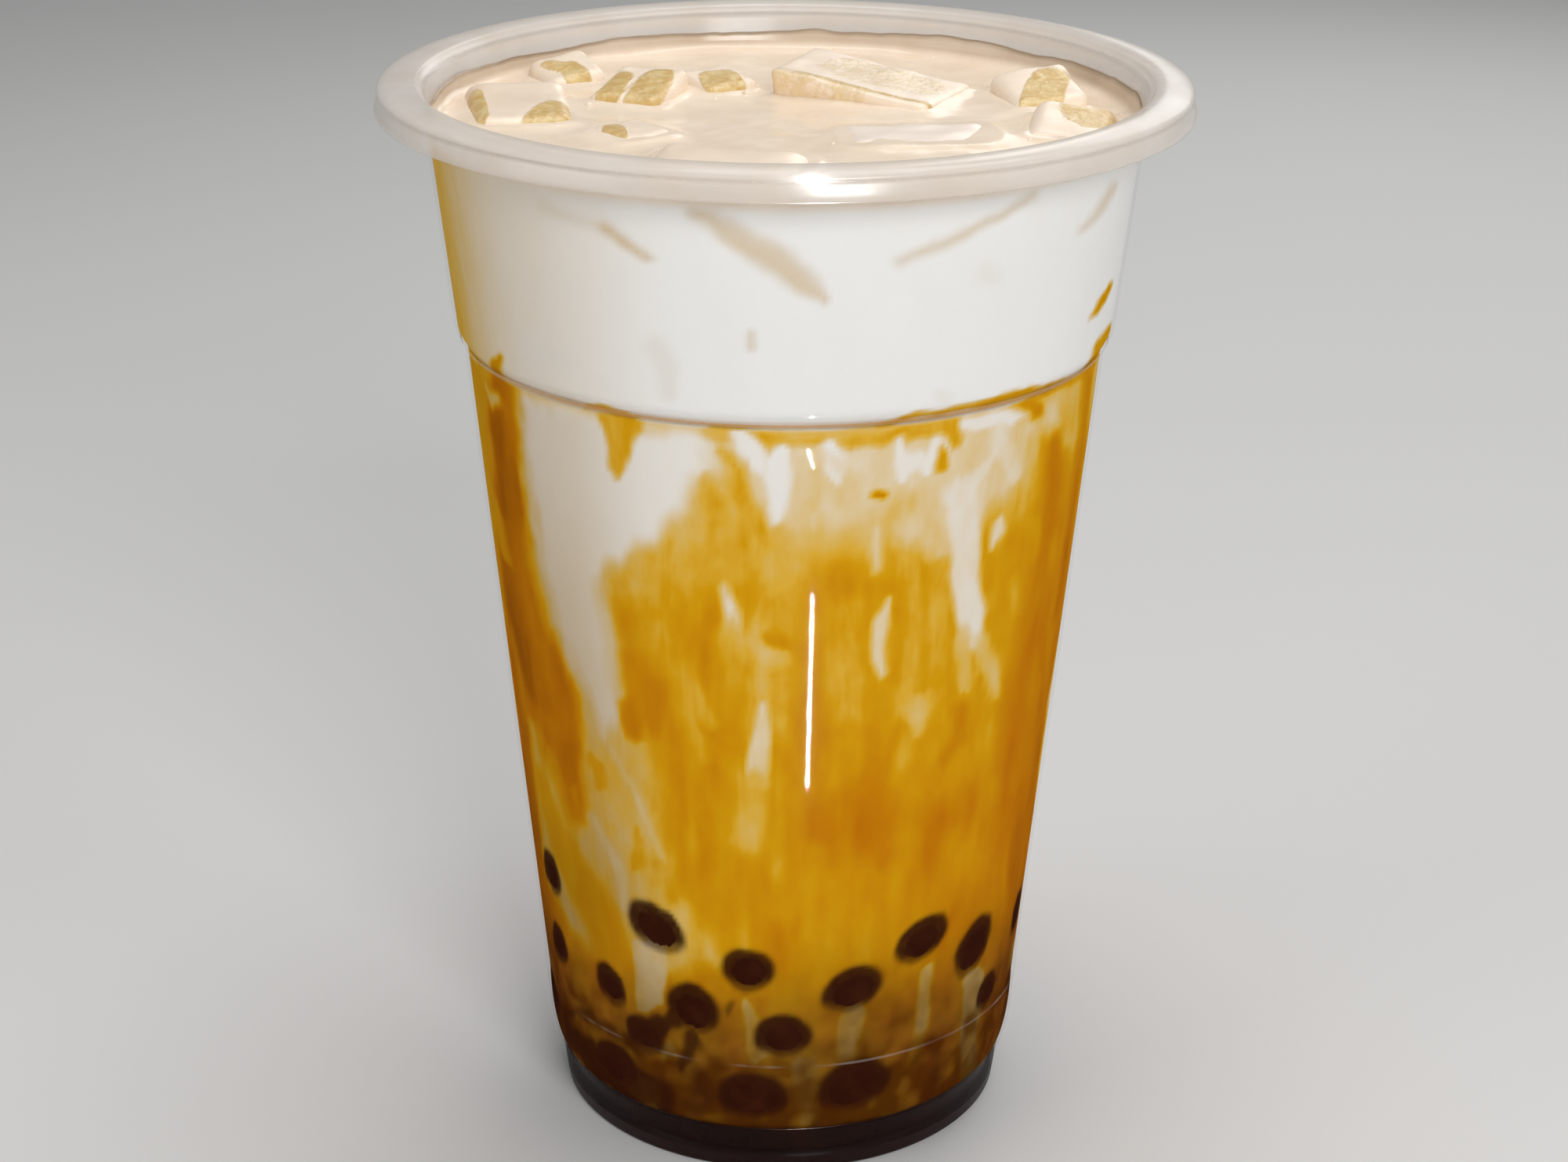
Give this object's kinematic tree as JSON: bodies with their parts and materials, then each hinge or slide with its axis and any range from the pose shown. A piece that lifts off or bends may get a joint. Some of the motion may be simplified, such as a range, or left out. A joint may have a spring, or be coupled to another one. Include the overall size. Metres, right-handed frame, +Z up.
{
  "type": "bubble tea",
  "caption": "Iced milk tea with brown sugar syrup and tapioca pearls in a clear tapered plastic cup with a rolled rim, open on top.",
  "frame": {"origin": "centre of the cup's foot, on the surface it stands on", "axes": "+Z up along the cup's axis; the pictured front faces -Y"},
  "size_m": [0.0956, 0.0956, 0.1311],
  "materials": {
    "clear_plastic": "clear, slightly milky thin moulded plastic, glossy",
    "milk": "opaque white milk, wet",
    "milk_tea": "milk tea marbled with amber brown sugar syrup, wet",
    "syrup": "dark brown sugar syrup, wet",
    "ice": "wet translucent ice, tinted by the drink",
    "pearl": "dark brown cooked tapioca, smooth and wet"
  },
  "bodies": {
    "root": {"cup": "clear_plastic", "milk": "milk", "milk_tea": "milk_tea", "syrup": "syrup", "ice_01": "ice", "ice_02": "ice", "ice_03": "ice", "ice_04": "ice", "ice_05": "ice", "ice_06": "ice", "ice_07": "ice", "ice_08": "ice", "ice_09": "ice", "ice_10": "ice", "pearl_01": "pearl", "pearl_02": "pearl", "pearl_03": "pearl", "pearl_04": "pearl", "pearl_05": "pearl", "pearl_06": "pearl", "pearl_07": "pearl", "pearl_08": "pearl", "pearl_09": "pearl", "pearl_10": "pearl", "pearl_11": "pearl", "pearl_12": "pearl", "pearl_13": "pearl", "pearl_14": "pearl", "pearl_15": "pearl", "pearl_16": "pearl", "pearl_17": "pearl", "pearl_18": "pearl", "pearl_19": "pearl", "pearl_20": "pearl", "pearl_21": "pearl", "pearl_22": "pearl", "pearl_23": "pearl", "pearl_24": "pearl", "pearl_25": "pearl", "pearl_26": "pearl", "pearl_27": "pearl", "pearl_28": "pearl", "pearl_29": "pearl", "pearl_30": "pearl", "pearl_31": "pearl", "pearl_32": "pearl", "pearl_33": "pearl", "pearl_34": "pearl"}
  },
  "joints": []
}
